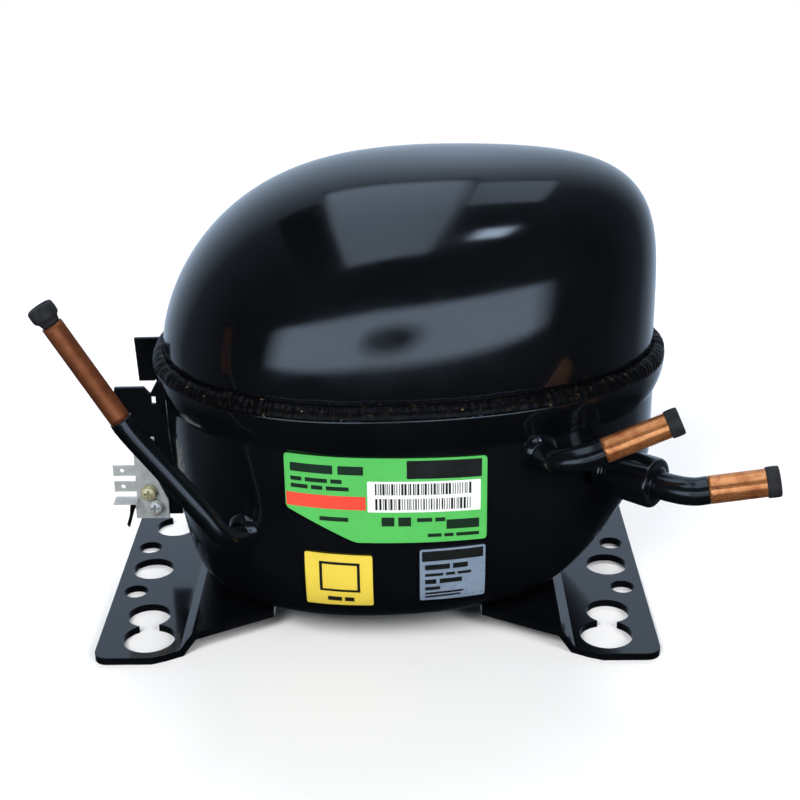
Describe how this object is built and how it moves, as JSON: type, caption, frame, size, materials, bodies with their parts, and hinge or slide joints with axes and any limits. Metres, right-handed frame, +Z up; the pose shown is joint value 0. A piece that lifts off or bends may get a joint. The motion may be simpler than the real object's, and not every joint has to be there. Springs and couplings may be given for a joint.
{
  "type": "hermetic reciprocating compressor",
  "caption": "Black two-shell hermetic piston compressor on two stamped feet, with capped copper stubs, an earth bracket and a spring-hung motor and pump inside.",
  "frame": {"origin": "bottom centre of the bounding box, on the plane the feet rest on", "axes": "+Z up, parallel to the crankshaft; +X along the long side, towards the suction and discharge tubes; -Y towards the labels"},
  "size_m": [0.2464, 0.1394, 0.1678],
  "materials": {
    "black_paint": "gloss black enamel, baked on",
    "burnt_weld": "rough weld under matte black paint",
    "copper": "drawn copper, lightly tarnished; brass stands in for copper",
    "black_rubber": "matte moulded rubber",
    "zinc": "clear zinc plated sheet",
    "yellow_zinc": "yellow passivated zinc",
    "green_label": "printed film sticker, satin",
    "yellow_label": "printed film sticker, satin",
    "silver_label": "metallised film sticker",
    "spring_steel": "drawn wire",
    "cast_iron": "as cast, oily",
    "machined_steel": "turned and ground",
    "laminations": "stacked electrical steel",
    "rotor": "laminated steel with cast end rings",
    "enamel_wire": "enamelled copper windings; brass stands in for copper",
    "rod_alloy": "die cast",
    "white_plastic": "moulded",
    "lead_sleeve": "woven polyester sleeve over the motor wires"
  },
  "bodies": {
    "shell": {"lower_shell": "black_paint", "top_cover": "black_paint", "weld_bead": "burnt_weld", "left_foot": "black_paint", "right_foot": "black_paint", "process_tube_root": "black_paint", "process_tube_stub": "copper", "suction_tube_root": "black_paint", "suction_tube_stub": "copper", "discharge_tube_root": "black_paint", "discharge_tube_stub": "copper", "discharge_barrel": "black_paint", "data_label": "green_label", "square_label": "yellow_label", "silver_label": "silver_label", "hermetic_terminal": "zinc", "terminal_fence": "black_paint", "earth_bracket": "zinc", "upper_earth_screw": "yellow_zinc", "lower_earth_screw": "zinc", "spring_seat_1": "machined_steel", "spring_seat_2": "machined_steel", "spring_seat_3": "machined_steel", "spring_seat_4": "machined_steel", "suspension_spring_1": "spring_steel", "suspension_spring_2": "spring_steel", "suspension_spring_3": "spring_steel", "suspension_spring_4": "spring_steel", "discharge_loop": "machined_steel", "motor_leads": "lead_sleeve", "lead_plug": "white_plastic"},
    "pump_unit": {"stator_core": "laminations", "lower_winding": "enamel_wire", "upper_winding": "enamel_wire", "stator_bolt_1": "machined_steel", "stator_bolt_2": "machined_steel", "stator_bolt_3": "machined_steel", "stator_bolt_4": "machined_steel", "crankcase": "cast_iron", "valve_plate": "machined_steel", "cylinder_head": "cast_iron", "head_bolt_1": "machined_steel", "head_bolt_2": "machined_steel", "head_bolt_3": "machined_steel", "head_bolt_4": "machined_steel", "suction_muffler": "white_plastic", "discharge_muffler": "cast_iron"},
    "crank": {"crankshaft": "machined_steel", "rotor_core": "rotor", "oil_pickup": "machined_steel"},
    "piston_group": {"piston": "machined_steel", "wrist_pin": "machined_steel"},
    "rod_group": {"connecting_rod": "rod_alloy", "crankpin": "machined_steel"},
    "suction_valve": {"suction_reed": "spring_steel"},
    "discharge_valve": {"discharge_reed": "spring_steel"},
    "process_plug": {"process_cap": "black_rubber"},
    "suction_plug": {"suction_cap": "black_rubber"},
    "discharge_plug": {"discharge_cap": "black_rubber"}
  },
  "joints": [
    {"name": "suspension", "type": "slide", "parent": "shell", "child": "pump_unit", "axis": [0, 0, 1], "range_m": [-0.0025, 0.0025], "stiffness_N_per_m": 14000, "springref_m": 0.0031, "deforming": ["suspension_spring_1", "suspension_spring_2", "suspension_spring_3", "suspension_spring_4", "discharge_loop", "motor_leads"]},
    {"name": "crank_spin", "type": "hinge", "parent": "pump_unit", "child": "crank", "pos_m": [-0.00564, 0.00205, 0.08], "axis": [0, 0, 1], "continuous": true},
    {"name": "piston_slide", "type": "slide", "parent": "pump_unit", "child": "piston_group", "axis": [1, 0, 0], "range_m": [-0.02, 0]},
    {"name": "rod_swing", "type": "hinge", "parent": "piston_group", "child": "rod_group", "pos_m": [0.04636, 0.00205, 0.127], "axis": [0, 0, 1], "range_deg": [-13.77, 13.77]},
    {"name": "suction_valve_lift", "type": "hinge", "parent": "pump_unit", "child": "suction_valve", "pos_m": [0.05676, -0.00295, 0.118], "axis": [0, -1, 0], "range_deg": [0, 1.5], "stiffness_Nm_per_rad": 0.01},
    {"name": "discharge_valve_lift", "type": "hinge", "parent": "pump_unit", "child": "discharge_valve", "pos_m": [0.06066, 0.00705, 0.118], "axis": [0, 1, 0], "range_deg": [0, 3], "stiffness_Nm_per_rad": 0.01},
    {"name": "process_cap_pull", "type": "slide", "parent": "shell", "child": "process_plug", "axis": [-0.5012, 0.013, 0.8652], "range_m": [0, 0.012]},
    {"name": "suction_cap_pull", "type": "slide", "parent": "shell", "child": "suction_plug", "axis": [0.9182, 0.009, 0.3961], "range_m": [0, 0.012]},
    {"name": "discharge_cap_pull", "type": "slide", "parent": "shell", "child": "discharge_plug", "axis": [0.9773, -0.1051, 0.1839], "range_m": [0, 0.012]}
  ]
}
